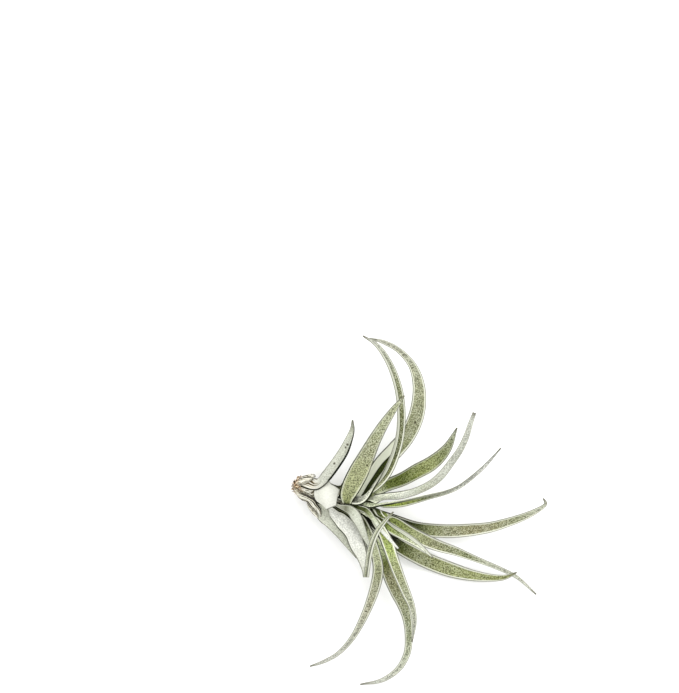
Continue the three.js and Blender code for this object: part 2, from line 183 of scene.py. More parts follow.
stem_mesh = bmesh.new()
profile = [(0.02, 0)]
steps = 28
for step in range(steps + 1):
    along = stem_length * step / steps
    profile.append((core_radius(along) * (0.85 if step == 0 else 1), along))
profile.append((0.02, stem_length))
corners = [stem_mesh.verts.new(stem_point(along) + stem_top * out) for out, along in profile]
outline = [stem_mesh.edges.new(pair) for pair in zip(corners, corners[1:])]
bmesh.ops.spin(stem_mesh, geom=corners + outline, cent=broken_end, axis=stem_along, dvec=(0, 0, 0),
               angle=2 * pi, steps=40, use_merge=True)
bmesh.ops.remove_doubles(stem_mesh, verts=stem_mesh.verts, dist=0.05)
bmesh.ops.recalc_face_normals(stem_mesh, faces=stem_mesh.faces)
for corner in stem_mesh.verts:
    along = (corner.co - broken_end).dot(stem_along)
    ragged = noise.noise(corner.co * 1.1) * 0.35 + noise.noise(corner.co * 3.1) * 0.15
    corner.co += (corner.co - stem_point(along)).normalized() * ragged * 0.8
    if along < 0.5:
        corner.co += stem_along * (noise.noise(corner.co * 1.7) * 1.1 + 0.3)
for side, start, length in root_stubs:
    way = (outward(side) * start - stem_along).normalized()
    foot = stem_point(0.4) + outward(side) * start * stub_ring
    spike(stem_mesh, foot - way * stub_foot, way, length + stub_foot, *stub_thickness)
dice = random.Random(7)
for count in range(fibre_count):
    side = dice.uniform(0, 360)
    torn_core = count % 2
    start = dice.uniform(0.2, 1.2) if torn_core else dice.uniform(1.5, 3.5)
    out = core_radius(start) * dice.uniform(0.3, 0.95) if torn_core else core_radius(start) + 0.6
    way = (outward(side) * dice.uniform(-0.1, 0.4) - stem_along * dice.uniform(0.3, 1)
           + outward(side + 90) * dice.uniform(-0.5, 0.5)).normalized()
    spike(stem_mesh, stem_point(start) + outward(side) * out, way,
          dice.uniform(*fibre_length), dice.uniform(*fibre_thickness), fibre_tip)
for corner in stem_mesh.verts:
    corner.co.z = max(corner.co.z, 0)

# Dead woody tissue, torn and weathered: rotten brown and gold at the broken end, where it is mottled
# by the millimetre, and pale tan further up, where dry fibres half a millimetre wide run along it. It
# has no shine. It lies in the shade of the leaf bases, so its colour is painted lighter to make up for
# that shade.
wood_painted_light = 1.55
bark = bpy.data.materials.new("weathered stem wood")
bark.use_nodes = True
tree = bark.node_tree
where = add(tree, "ShaderNodeTexCoord", {}).outputs["Object"]
in_stem = add(tree, "ShaderNodeMapping", {"vector_type": "TEXTURE", "Location": broken_end * MM,
              "Rotation": (0, -stem_rise, stem_heading), "Scale": (MM, MM, MM)}, {"Vector": where})
stretched = add(tree, "ShaderNodeMapping", {"Scale": (0.35, 1.9, 1.9)}, {"Vector": in_stem.outputs["Vector"]})
grain = add(tree, "ShaderNodeTexNoise", {"Scale": 1, "Detail": 3, "Roughness": 0.65},
            {"Vector": stretched.outputs["Vector"]})
patch = add(tree, "ShaderNodeTexNoise", {"Scale": 1.1, "Detail": 3, "Roughness": 0.7},
            {"Vector": in_stem.outputs["Vector"]})
fibrous = add(tree, "ShaderNodeValToRGB",
              {"stops": ((0.44, "#2a2012"), (0.475, "#9a8f70"), (0.51, "#e9e6d0"), (0.57, "#fcfbf0"))},
              {"Fac": grain.outputs["Fac"]})
rotten = add(tree, "ShaderNodeValToRGB",
             {"stops": ((0.455, "#0e0703"), (0.487, "#57351b"), (0.53, "#bd8f56"), (0.59, "#f6e8c6"))},
             {"Fac": patch.outputs["Fac"]})
place = add(tree, "ShaderNodeSeparateXYZ", {}, {"Vector": in_stem.outputs["Vector"]})
decay = add(tree, "ShaderNodeMapRange", {"From Min": 3, "From Max": 9, "To Min": 1, "To Max": 0},
            {"Value": place.outputs["X"]})
wood = add(tree, "ShaderNodeMix", {"data_type": "RGBA"},
           {0: decay.outputs["Result"], 6: fibrous.outputs["Color"], 7: rotten.outputs["Color"]})
lit = add(tree, "ShaderNodeVectorMath", {"operation": "SCALE", "Scale": wood_painted_light / light_level},
          {0: wood.outputs[2]})
relief = add(tree, "ShaderNodeBump", {"Strength": 0.6, "Distance": 0.4 * MM},
             {"Height": grain.outputs["Fac"]})
shader = tree.nodes["Principled BSDF"]
shader.inputs["Roughness"].default_value = 0.9
tree.links.new(lit.outputs["Vector"], shader.inputs["Base Color"])
tree.links.new(relief.outputs["Normal"], shader.inputs["Normal"])
finish_piece("stem_wood", stem_mesh, bark, "stem")

# A leaf is one piece: a sheath wrapped round the stem that runs out into a channelled blade, thick
# along its keel and thin at both margins. Each is given from the stem outward: its tier, the side it
# grows from, where it lets go, and rows of keel point, width and lean.
tier_places = [1.5, 6, 11, 16, 20.5, 25, 29, 33, 37]
sheath_thickness = 0.65
clearance = 0.3
keel_thickness = 0.95
margin_thickness = 0.45
tip_width = 0.45
full_keel_from = 1.5
margin_run = 3
steps_across = 14
steps_along = 8


def sheath_station(plan, share, side, wrap):
    start, free, lean, bulge, rim = plan
    along = start + (free - start) * share
    swell = bulge * sin(pi * share) ** 2 + rim * share ** 3
    radius = core_radius(along) + clearance + sheath_thickness / 2 + lean * (along - start) + swell
    out = outward(side)
    return stem_point(along) + out * radius, -out, Vector((radius * radians(wrap), radians(wrap), 1))


def smooth_through(values, gaps):
    path = []
    for i in range(len(values) - 1):
        here, there = values[i], values[i + 1]
        before = values[i - 1] if i else here * 2 - there
        after = values[i + 2] if i + 2 < len(values) else there * 2 - here
        past, gap = gaps[max(i - 1, 0)], gaps[i]
        ahead = gaps[min(i + 1, len(gaps) - 1)]
        leave = ((here - before) / past - (there - before) / (past + gap) + (there - here) / gap) * gap
        reach = ((there - here) / gap - (after - here) / (gap + ahead) + (after - there) / ahead) * gap
        points = interpolate_bezier(here, here + leave / 3, there - reach / 3, there, steps_along + 1)
        path += points[:-1]
    return path + [values[-1].copy()]


def leaf(name, skin, rows=(), tier=0, side=0, wrap=0, free=None, channel=80, start=None,
         look=(0, 0, 1), lean=0.25, bulge=0, rim=0, rounding=0, twist=0, narrowing=0, fray=0, splits=()):
    stations = []
    if free is not None:
        start = tier_places[tier] if start is None else start
        plan = (start, free, lean, bulge, rim)
        for share in (0, 0.5, 1) if rows else (0, 0.2, 0.4, 0.6, 0.8, 1):
            far = 2 * share - 1
            narrow = wrap * (1 - narrowing * share ** 2) * (1 - rounding * far ** 2)
            stations.append(sheath_station(plan, share, side + twist * far, narrow))
    keel = [point for point, face, shape in stations[-1:]] + [Vector(row[:3]) for row in rows]
    first = len(keel) - len(rows)
    for index, (x, y, z, width, turn) in enumerate(rows):
        ahead = keel[min(index + first + 1, len(keel) - 1)]
        behind = keel[max(index + first - 1, 0)]
        heading = (ahead - behind).normalized()
        flat = Vector(look) - heading * heading.dot(Vector(look))
        flat.normalize()
        face = flat * cos(radians(turn)) + heading.cross(flat) * sin(radians(turn))
        shape = Vector((max(width, tip_width) / 2, radians(channel) / 2, 0))
        stations.append((Vector((x, y, z)), face, shape))
    points, faces, shapes = zip(*stations)
    gaps = [(b - a).length ** 0.5 for a, b in zip(points, points[1:])]
    points, faces, shapes = (smooth_through(list(values), gaps) for values in (points, faces, shapes))
    lengths = [0]
    for a, b in zip(points, points[1:]):
        lengths.append(lengths[-1] + (b - a).length)

    mesh = bmesh.new()
    layers = [mesh.verts.layers.float.new(key) for key in ("along", "across", "under", "inward")]
    around = 2 * steps_across + 2
    last = len(points) - 1
    bmesh.ops.create_grid(mesh, x_segments=around, y_segments=last, size=0.5)
    for corner in mesh.verts:
        place = round((corner.co.x + 0.5) * around) % around
        ring = round((corner.co.y + 0.5) * last)
        under = place > steps_across
        share = 1 - 2 * (place - steps_across - 1) / steps_across if under else 2 * place / steps_across - 1
        tangent = (points[min(ring + 1, last)] - points[max(ring - 1, 0)]).normalized()
        face = (faces[ring] - tangent * faces[ring].dot(tangent)).normalized()
        half_width = max(shapes[ring].x, tip_width / 2)
        half_angle, sheath = shapes[ring].y, min(max(shapes[ring].z, 0), 1)
        angle = share * half_angle
        outer = tangent.cross(face) * sin(angle) - face * cos(angle)
        radius = half_width / half_angle
        blade = keel_thickness + (margin_thickness - keel_thickness) * abs(share)
        slim = min(half_width / full_keel_from, 1)
        thin = margin_thickness + (blade - margin_thickness) * slim
        half = (thin + (sheath_thickness - thin) * sheath) / 2
        corner.co = points[ring] + face * radius + outer * (radius + (half if under else -half))
        end = lengths[ring] / lengths[-1]
        if fray:
            torn = noise.noise(Vector((share * 3.2, ring * 0.02, side)))
            torn += noise.noise(Vector((share * 11, 0, side)))
            corner.co += tangent * torn * fray * end ** 3
            corner.co += face * noise.noise(corner.co * 0.9) * fray * 0.25
        for middle, half, depth in splits:
            corner.co -= tangent * depth * max(1 - abs(share - middle) / half, 0) * end ** 2
        corner.co.z = max(corner.co.z, 0)
        from_margin = max(half_width, margin_run) * (1 - abs(share))
        for layer, value in zip(layers, (end, share, float(under), from_margin)):
            corner[layer] = value
    bmesh.ops.remove_doubles(mesh, verts=mesh.verts, dist=0.002)
    bmesh.ops.holes_fill(mesh, edges=[edge for edge in mesh.edges if edge.is_boundary])
    bmesh.ops.recalc_face_normals(mesh, faces=mesh.faces)
    if mesh.calc_volume(signed=True) < 0:
        bmesh.ops.reverse_faces(mesh, faces=mesh.faces)
    return finish_piece(name + "_skin", mesh, skin, name)


# The oldest leaves are dead and dry: papery, ribbed, tan with brown streaks, worn away where they
# left the stem. One lies over the broken end, one under it, and a torn tongue clings beside it.
paper_lift = 1.12


def dry_skin(name, tones, streak):
    skin = bpy.data.materials.new(name)
    skin.use_nodes = True
    tree = skin.node_tree
    along = add(tree, "ShaderNodeAttribute", {"attribute_name": "along"}).outputs["Fac"]
    across = add(tree, "ShaderNodeAttribute", {"attribute_name": "across"}).outputs["Fac"]
    under = add(tree, "ShaderNodeAttribute", {"attribute_name": "under"}).outputs["Fac"]
    sheet = add(tree, "ShaderNodeCombineXYZ", {}, {"X": across, "Y": along, "Z": under})
    where = add(tree, "ShaderNodeTexCoord", {}).outputs["Object"]
    # Ribs run along it, about sixteen across, and rot mottles its foot by the millimetre.
    ribs = add(tree, "ShaderNodeMapping", {"Scale": (8, 0.6, 5)}, {"Vector": sheet.outputs["Vector"]})
    lines = add(tree, "ShaderNodeTexNoise", {"Scale": 1, "Detail": 2, "Roughness": 0.7},
                {"Vector": ribs.outputs["Vector"]})
    patch = add(tree, "ShaderNodeTexNoise", {"Scale": 1000, "Detail": 3, "Roughness": 0.7}, {"Vector": where})
    depth = add(tree, "ShaderNodeMath", {"operation": "MULTIPLY_ADD", 1: 0.2},
                {0: patch.outputs["Fac"], 2: lines.outputs["Fac"]})
    paper = add(tree, "ShaderNodeValToRGB", {"stops": tones}, {"Fac": depth.outputs["Value"]})
    rotten = add(tree, "ShaderNodeValToRGB",
                 {"stops": ((0.44, "#120804"), (0.48, "#5c3a1e"), (0.52, "#c3925a"), (0.57, "#f8ebcd"))},
                 {"Fac": patch.outputs["Fac"]})
    old = add(tree, "ShaderNodeMapRange", {"From Min": 0.0, "From Max": 0.4, "To Min": streak, "To Max": 0},
              {"Value": along})
    colour = add(tree, "ShaderNodeMix", {"data_type": "RGBA"},
                 {0: old.outputs["Result"], 6: paper.outputs["Color"], 7: rotten.outputs["Color"]})
    lit = add(tree, "ShaderNodeVectorMath", {"operation": "SCALE", "Scale": paper_lift / light_level},
              {0: colour.outputs[2]})
    relief = add(tree, "ShaderNodeBump", {"Strength": 0.7, "Distance": 0.35 * MM},
                 {"Height": lines.outputs["Fac"]})
    shader = tree.nodes["Principled BSDF"]
    shader.inputs["Roughness"].default_value = 0.85
    tree.links.new(lit.outputs["Vector"], shader.inputs["Base Color"])
    tree.links.new(relief.outputs["Normal"], shader.inputs["Normal"])
    return skin


dry_tones = ((0.52, "#1f180c"), (0.56, "#857c5a"), (0.6, "#d8d5bb"), (0.68, "#faf8ec"))
dry_paper = dry_skin("papery dead leaf base", dry_tones, 1.3)
tongue_tones = ((0.54, "#1f180c"), (0.575, "#857c5a"), (0.61, "#d8d5bb"), (0.68, "#faf8ec"))
dry_tongue_paper = dry_skin("papery dead leaf tongue", tongue_tones, 0.35)
leaf("dry_base_top", dry_paper, side=50, wrap=57, free=10, narrowing=0.7, fray=1.1)
leaf("dry_base_under", dry_paper, side=178, wrap=50, free=9, narrowing=0.8, fray=0.9)
leaf("dry_tongue", dry_tongue_paper, tier=0, side=-68, wrap=43, free=10.2, lean=0.17, channel=90,
     fray=0.5, splits=((0.25, 0.3, 4.5), (-0.45, 0.2, 2.5)), rows=[
    (-49, 1.7, 12.9, 5.6, 215), (-47.1, -0.6, 12.4, 4.8, 200), (-45.9, -2.9, 11.8, 2.2, 190)])


# Living leaves are succulent and matt. Fine silver scales cover them, thin on the olive upper face
# so that it looks speckled, thick on the underside, and gathered to a pale line inside the margin,
# broader at the base. The margin itself is painted dark as shade. The scales are 0.2 mm across, drawn
# at 0.6 mm to show in the picture.
def leaf_skin(name, upper, under, silver=0.3, pale_margin=0.8, spots=(), tip="#5f5c48", speckle=1,
              membrane=0.5, wither=0.955, wall=None, fold=0.1, dry_foot=0):
    skin = bpy.data.materials.new(name)
    skin.use_nodes = True
    tree = skin.node_tree
    along = add(tree, "ShaderNodeAttribute", {"attribute_name": "along"}).outputs["Fac"]
    across = add(tree, "ShaderNodeAttribute", {"attribute_name": "across"}).outputs["Fac"]
    beneath = add(tree, "ShaderNodeAttribute", {"attribute_name": "under"}).outputs["Fac"]
    where = add(tree, "ShaderNodeTexCoord", {}).outputs["Object"]
    # The flesh has its tones along each face. Near the crown these carry painted shade too: the near-black
    # feet of several leaves stand for the shade between the leaf bases, and some bands near the base are
    # painted lighter to make up for shade falling on them.
    top = add(tree, "ShaderNodeValToRGB", {"stops": upper}, {"Fac": along})
    back = add(tree, "ShaderNodeValToRGB", {"stops": under}, {"Fac": along})
    flesh = add(tree, "ShaderNodeMix", {"data_type": "RGBA"},
                {0: beneath, 6: top.outputs["Color"], 7: back.outputs["Color"]})
    # Faint veins run along it, and the scales darken and lighten it: 1700 to the metre is 0.6 mm.
    sheet = add(tree, "ShaderNodeCombineXYZ", {}, {"X": across, "Y": along, "Z": beneath})
    ribs = add(tree, "ShaderNodeMapping", {"Scale": (7, 2.5, 5)}, {"Vector": sheet.outputs["Vector"]})
    lines = add(tree, "ShaderNodeTexNoise", {"Scale": 1, "Detail": 3, "Roughness": 0.6},
                {"Vector": ribs.outputs["Vector"]})
    scales = add(tree, "ShaderNodeTexNoise", {"Scale": 1700, "Detail": 2, "Roughness": 0.75},
                 {"Vector": where})
    cloud = add(tree, "ShaderNodeTexNoise", {"Scale": 160, "Detail": 2}, {"Vector": where})
    dark = add(tree, "ShaderNodeMapRange", {"From Min": 0.36, "From Max": 0.62, "To Min": 1 - 0.75 * speckle,
               "To Max": 1 + 0.62 * speckle}, {"Value": scales.outputs["Fac"]})
    vein = add(tree, "ShaderNodeMapRange", {"From Min": 0.35, "From Max": 0.65, "To Min": 1 - 0.22 * speckle,
               "To Max": 1 + 0.12 * speckle}, {"Value": lines.outputs["Fac"]})
    tone = add(tree, "ShaderNodeMath", {"operation": "MULTIPLY"},
               {0: dark.outputs["Result"], 1: vein.outputs["Result"]})
    toned = add(tree, "ShaderNodeVectorMath", {"operation": "SCALE"},
                {0: flesh.outputs[2], "Scale": tone.outputs["Value"]})
    # Silver gathers where the scales are densest, in clouds of 6 mm, and only past the sheath.
    cover = add(tree, "ShaderNodeMath", {"operation": "MULTIPLY_ADD", 1: 0.4},
                {0: cloud.outputs["Fac"], 2: scales.outputs["Fac"]})
    plenty = add(tree, "ShaderNodeMapRange", {"From Min": 0.3, "From Max": 0.5, "To Min": 0,
                 "To Max": silver * 2}, {"Value": along})
    frost = add(tree, "ShaderNodeMapRange", {"From Min": 0.66, "From Max": 0.92, "To Min": 0},
                {"Value": cover.outputs["Value"], "To Max": plenty.outputs["Result"]})
    silvered = add(tree, "ShaderNodeMix", {"data_type": "RGBA", 7: linear("#dfe2d2")},
                   {0: frost.outputs["Result"], 6: toned.outputs["Vector"]})
    body = silvered.outputs[2]
    # A wall is the side of the channel, another tone past a fold that is only painted: its face (0 upper,
    # 1 under), its side, two places along the leaf with the share across of its border at each, and its
    # lightness. The silver tone is its own. The lightness is painted light, above one to lift a wall out of
    # shade and near zero for a strip of painted deep shade.
    if wall:
        face, side, near, border_near, far, border_far, painted_lightness = wall
        border = add(tree, "ShaderNodeMapRange", {"From Min": near, "From Max": far, "To Min": border_near,
                     "To Max": border_far}, {"Value": along})
        past = add(tree, "ShaderNodeMath", {"operation": "SUBTRACT"},
                   {0: across, 1: border.outputs["Result"]})
        reach = add(tree, "ShaderNodeMath", {"operation": "MULTIPLY", 1: side}, {0: past.outputs["Value"]})
        off_face = add(tree, "ShaderNodeMath", {"operation": "COMPARE", 1: 1 - face, 2: 0.5}, {0: beneath})
        far_outside = -9
        into = add(tree, "ShaderNodeMath", {"operation": "MULTIPLY_ADD", 1: far_outside},
                   {0: off_face.outputs["Value"], 2: reach.outputs["Value"]})
        lit_wall = add(tree, "ShaderNodeMapRange",
                       {"From Min": -0.03, "From Max": 0.05, "To Min": 0, "To Max": 0.85 if fold else 1},
                       {"Value": into.outputs["Value"]})
        silver_wall = [channel * painted_lightness for channel in linear("#dfe2d0")]
        walled = add(tree, "ShaderNodeMix", {"data_type": "RGBA", 7: silver_wall},
                     {0: lit_wall.outputs["Result"], 6: body})
        body = walled.outputs[2]
    # Beside the painted fold runs a bright line, a painted highlight, and outside it a dark one, painted
    # shade.
    if wall and fold:
        for shift, painted_line_tone in ((-0.05, "#fafce9"), (0.12, "#23290f")):
            off = add(tree, "ShaderNodeMath", {"operation": "ADD", 1: shift}, {0: into.outputs["Value"]})
            beside = add(tree, "ShaderNodeMath", {"operation": "ABSOLUTE"}, {0: off.outputs["Value"]})
            line = add(tree, "ShaderNodeMapRange",
                       {"From Min": fold * 0.3, "From Max": fold, "To Min": 0.8, "To Max": 0},
                       {"Value": beside.outputs["Value"]})
            body = add(tree, "ShaderNodeMix", {"data_type": "RGBA", 7: linear(painted_line_tone)},
                       {0: line.outputs["Result"], 6: body}).outputs[2]
    # The foot of an old leaf, this share of its length, is dry and fibrous.
    if dry_foot:
        fibre = add(tree, "ShaderNodeValToRGB",
                    {"stops": ((0.4, "#3d2f1b"), (0.44, "#9d8f68"), (0.49, "#e8e4cd"), (0.56, "#fbfaf0"))},
                    {"Fac": lines.outputs["Fac"]})
        foot = add(tree, "ShaderNodeMapRange", {"From Min": dry_foot * 0.6, "From Max": dry_foot, "To Min": 1,
                   "To Max": 0}, {"Value": along})
        body = add(tree, "ShaderNodeMix", {"data_type": "RGBA"},
                   {0: foot.outputs["Result"], 6: body, 7: fibre.outputs["Color"]}).outputs[2]
    # The pale line lies within 0.9 mm of the margin. Near the base the thin membrane broadens it, and
    # there it is drawn lighter, because it lies in the shade of the crown.
    inward = add(tree, "ShaderNodeAttribute", {"attribute_name": "inward"}).outputs["Fac"]
    broad = add(tree, "ShaderNodeMapRange", {"From Min": 0.1, "From Max": 0.45, "To Min": 0.92 + membrane,
                "To Max": 0.92}, {"Value": along})
    rim = add(tree, "ShaderNodeMapRange",
              {"From Min": 0.62, "To Min": min(pale_margin * 1.2, 1), "To Max": 0},
              {"Value": inward, "From Max": broad.outputs["Result"]})
    shaded = add(tree, "ShaderNodeMapRange", {"From Min": 0.15, "From Max": 0.4, "To Min": 1.35, "To Max": 1},
                 {"Value": along})
    margin = add(tree, "ShaderNodeVectorMath", {"operation": "SCALE", 0: linear("#fafce9")[:3]},
                 {"Scale": shaded.outputs["Result"]})
    edged = add(tree, "ShaderNodeMix", {"data_type": "RGBA"},
                {0: rim.outputs["Result"], 6: body, 7: margin.outputs["Vector"]})
    # The margin is painted dark, 0.4 mm wide, as the shade on its rolled edge: wider underneath and darker
    # in the crown, where the painted shade is deeper.
    turned = add(tree, "ShaderNodeMath", {"operation": "MULTIPLY_ADD", 1: -0.35}, {0: beneath, 2: inward})
    painted_crown_shade = add(tree, "ShaderNodeMapRange", {"From Min": 0.2, "From Max": 0.45, "To Min": 1, "To Max": 0.62},
               {"Value": along})
    thin = add(tree, "ShaderNodeMapRange", {"From Min": 0.18, "From Max": 0.4, "To Max": 0},
               {"Value": turned.outputs["Value"], "To Min": painted_crown_shade.outputs["Result"]})
    shade_edged = add(tree, "ShaderNodeMix", {"data_type": "RGBA", 7: linear("#242911")},
                   {0: thin.outputs["Result"], 6: edged.outputs[2]})
    # The tip is withered, and a few dark specks, each a place and a size, are old damage.
    withered = add(tree, "ShaderNodeMapRange",
                   {"From Min": wither, "From Max": 1, "To Min": 0, "To Max": 0.85}, {"Value": along})
    skin_colour = add(tree, "ShaderNodeMix", {"data_type": "RGBA", 7: linear(tip)},
                      {0: withered.outputs["Result"], 6: shade_edged.outputs[2]}).outputs[2]
    for x, y, z, size in spots:
        away = add(tree, "ShaderNodeVectorMath", {"operation": "DISTANCE", 1: (x * MM, y * MM, z * MM)},
                   {0: where})
        speck = add(tree, "ShaderNodeMapRange",
                    {"From Min": size * 0.6 * MM, "From Max": size * MM, "To Min": 0.85, "To Max": 0},
                    {"Value": away.outputs["Value"]})
        skin_colour = add(tree, "ShaderNodeMix", {"data_type": "RGBA", 7: linear("#3a3222")},
                          {0: speck.outputs["Result"], 6: skin_colour}).outputs[2]
    lit = add(tree, "ShaderNodeVectorMath", {"operation": "SCALE", "Scale": 1 / light_level},
              {0: skin_colour})
    bumps = add(tree, "ShaderNodeMath", {"operation": "MULTIPLY_ADD", 1: 0.5},
                {0: scales.outputs["Fac"], 2: lines.outputs["Fac"]})
    relief = add(tree, "ShaderNodeBump", {"Strength": 0.5, "Distance": 0.15 * MM},
                 {"Height": bumps.outputs["Value"]})
    shader = tree.nodes["Principled BSDF"]
    shader.inputs["Roughness"].default_value = 0.65
    shader.inputs["Specular IOR Level"].default_value = 0.08
    tree.links.new(lit.outputs["Vector"], shader.inputs["Base Color"])
    tree.links.new(relief.outputs["Normal"], shader.inputs["Normal"])
    return skin


# Two outer leaves were trimmed: one keeps a short blade that stands up and shows its pale
# underside, with its right edge painted near black as the deep shade it lies in, and the other is cut
# away and leaves a smooth cream sheath round the front of the stem.
white_back = ((0, "#8a7554"), (0.04, "#b5a685"), (0.09, "#d8d5be"), (0.14, "#e4e5d7"), (0.3, "#d2d4c6"),
              (0.5, "#d4d6c7"), (1, "#c9ccb8"))
# The trimmed leaf's wall, at a lightness of 0.02, is a near black strip of painted shade along its right
# edge.
trimmed_skin = leaf_skin(
    "silver underside of the trimmed leaf", ((0, "#9aa07c"), (1, "#a9ab8b")), white_back, 0.4, 0,
    ((-34, 28.6, 26.1, 0.6), (-33.1, 29.9, 26.3, 0.7), (-39.1, 21.4, 24.6, 0.7)), "#45432f", 0.4,
    wither=0.86, wall=(1, -1, 0.25, -1.1, 0.34, -0.64, 0.02), fold=0, dry_foot=0.27)
leaf("trimmed_leaf", trimmed_skin, tier=1, side=32, wrap=36, free=9.5, channel=95, rows=[
    (-46.9, 12.2, 19.4, 5.2, 165), (-43.2, 15.4, 22.4, 5.4, 165), (-39.2, 20.6, 24, 5.4, 165),
    (-35.1, 26.8, 25, 5, 165), (-32.9, 31.5, 26.2, 3.9, 165), (-31.1, 36.5, 27.2, 2.3, 165),
    (-30.8, 41, 28, 0, 165)])
cream_skin = leaf_skin(
    "smooth cream sheath", ((0, "#f4f4e6"), (1, "#f2f3e8")),
    ((0, "#f6f6ea"), (0.45, "#f1f2e5"), (0.7, "#f8f8ee"), (1, "#eeefe3")), 0.1, 0.3, tip="#e4e5d6",
    speckle=0.12, wither=0.97)
leaf("cut_sheath", cream_skin, tier=2, start=13.3, side=-4, wrap=67, free=25.5, bulge=1.8,
     rim=-1.4, rounding=0.25, twist=14, channel=150)

# Three pale leaves on the lower left side show their silver undersides: one short and tapering,
# one that stands up and hooks back over the crown, and a short one tucked against it.
pale_back = ((0, "#b9b894"), (0.2, "#d2d5c2"), (0.4, "#e6e9d6"), (0.6, "#d8dcc8"), (0.8, "#d0d4c0"),
             (1, "#9a9d88"))
outer_skin = leaf_skin(
    "silver underside of the outer short leaf", ((0, "#9aa07c"), (1, "#a9ab8b")), pale_back, 0.4, 0.3,
    ((-32.2, -15.6, 6.6, 0.5), (-31, -17.2, 6.2, 0.5)), speckle=0.5)
leaf("outer_short_leaf", outer_skin, tier=1, start=8, side=-100, wrap=30, free=11.5, lean=0.1,
     channel=80, rows=[
    (-43.9, -1.5, 10.2, 8.8, 202), (-40.2, -5.2, 9.6, 8, 200), (-36, -10.3, 8.4, 6, 195),
    (-32.4, -15.8, 6.2, 3.4, 190), (-28.9, -21.5, 4.4, 0, 190)])
hooked_skin = leaf_skin(
    "silver underside of the hooked leaf",
    ((0, "#a4aa86"), (0.6, "#969a7c"), (0.72, "#8e9274"), (0.85, "#bdc2a4"), (1, "#a7af82")),
    ((0, "#ecede2"), (0.3, "#f0f1e7"), (0.45, "#eceee1"), (0.55, "#d6dac5"), (1, "#c3c8b0")), 0.4, 0.5,
    speckle=0.4, wall=(0, 1, 0.5, 1.5, 0.58, 0.3, 1), fold=0.4)
leaf("hooked_leaf", hooked_skin, tier=3, side=-92, wrap=33, free=18.6, channel=65, look=(1, 0, 0),
     rows=[
    (-39.2, -1.6, 17, 5.4, -45), (-36.1, -4.2, 19.8, 7.4, -55), (-31.3, -9.4, 22.4, 7.6, -66),
    (-28.7, -15.3, 24.6, 7.2, -80), (-26.3, -21.2, 27.8, 4.8, -90), (-25, -26.2, 32, 3.3, -90),
    (-24.8, -29.1, 37.4, 2.6, -90), (-24.3, -25.5, 42.6, 2.5, -90), (-22.9, -16.8, 46.4, 2.7, -90),
    (-20.6, -10.3, 48.4, 2.5, -90), (-18, -6.1, 49.4, 2.2, -90), (-12.6, 0, 50.6, 0, -90)])
short_skin = leaf_skin(
    "silver underside of the short leaf", ((0, "#a4aa86"), (1, "#a9ad90")),
    ((0, "#bfc0ad"), (0.2, "#adaf9c"), (0.3, "#84866f"), (0.42, "#c6cab7"), (0.55, "#dadecd"),
     (1, "#cbcfbc")), 0.4, 0.6, speckle=0.35)
leaf("short_sheath", short_skin, tier=4, start=22.4, side=-43, wrap=18, free=27.5, channel=70,
     rows=[
    (-31.7, 0.2, 27.2, 4.4, 190), (-29.4, -2.4, 28.4, 5, 180), (-27.4, -6.2, 28.2, 3.9, 180),
    (-25.7, -10.4, 27.4, 2.9, 180), (-24.2, -13.8, 26.6, 1.7, 180), (-23.2, -16.2, 26, 0, 180)])

# The upper leaves: a short broad one in front that shows its olive face, and behind it two tall
# ones, a narrow one on edge and a wide one, whose thin tips curl to the left.
olive_back = ((0, "#d4d8bf"), (0.4, "#c6cab2"), (1, "#b0b39d"))
front_skin = leaf_skin(
    "scaly olive skin of the front leaf",
    ((0, "#7f8555"), (0.12, "#a4a97e"), (0.3, "#a5a980"), (0.5, "#9fa27a"), (0.7, "#a9ae88"),
     (1, "#abae8b")), olive_back, 0.28, 0.28, ((-24.3, 20.6, 32, 0.6),))
leaf("front_leaf", front_skin, tier=4, channel=60, rows=[
    (-33.4, 3.6, 26.8, 4.4, 0), (-33.2, 6.8, 27.5, 7, 4), (-31.6, 11, 28.6, 8.8, 8),
    (-28, 18.4, 30.6, 9.4, 12), (-24.8, 24.8, 33.2, 7.9, 12), (-21.2, 31.9, 36.5, 6.1, 10),
    (-17.2, 38.8, 39.8, 4.7, 10), (-12, 46.4, 42.4, 2.8, 10), (-7.6, 52, 43.6, 0, 10)])
# The foot of the tall narrow leaf's underside is painted near black as the shade between the leaf bases.
narrow_back_painted_shade = ((0, "#17170e"), (0.09, "#26281a"), (0.16, "#dbdeca"), (0.5, "#c6cab2"), (1, "#b0b39d"))
narrow_skin = leaf_skin(
    "scaly olive skin of the tall narrow leaf",
    ((0, "#8f9568"), (0.22, "#bcc09c"), (0.3, "#757a52"), (0.4, "#5c613a"), (0.5, "#757a52"),
     (0.7, "#80845a"), (0.85, "#9b9e87"), (1, "#d8d9d2")), narrow_back_painted_shade, 0.26, 0.8,
    wall=(0, -1, 0.3, 0.1, 0.6, -0.35, 0.78))
leaf("tall_narrow_leaf", narrow_skin, tier=5, side=29, wrap=39, free=31.5, channel=115, rows=[
    (-27, 5.7, 28.4, 6, 125), (-21.2, 11.2, 30.4, 7, 75), (-16.2, 17.6, 31.4, 6.6, 48),
    (-12.3, 26, 31.8, 5.8, 40), (-10, 35, 31.8, 5.2, 35), (-9.5, 45.5, 31.6, 4.9, 30),
    (-10.7, 55.5, 31, 4.4, 25), (-14.6, 66.5, 29.6, 3.4, 20), (-20.2, 74.7, 28, 2.2, 20),
    (-26.2, 78.8, 26.6, 0, 20)])
# The tall wide leaf's foot is painted near black as shade under the leaves above it, and its wall is painted
# lighter than silver to lift it out of that shade.
wide_skin = leaf_skin(
    "scaly olive skin of the tall wide leaf",
    ((0, "#1c230a"), (0.18, "#343e10"), (0.31, "#3f4a16"), (0.37, "#9a9f76"), (0.5, "#9c9f79"),
     (0.75, "#a2a486"), (1, "#adada0")), olive_back, 0.28, 0.85,
    ((-2.7, 39.8, 19.3, 0.7), (-3.6, 64.6, 22.5, 0.4), (-8.1, 70.2, 21.8, 0.5)),
    wall=(0, -1, 0.33, 0.08, 0.5, -1.1, 1.6))
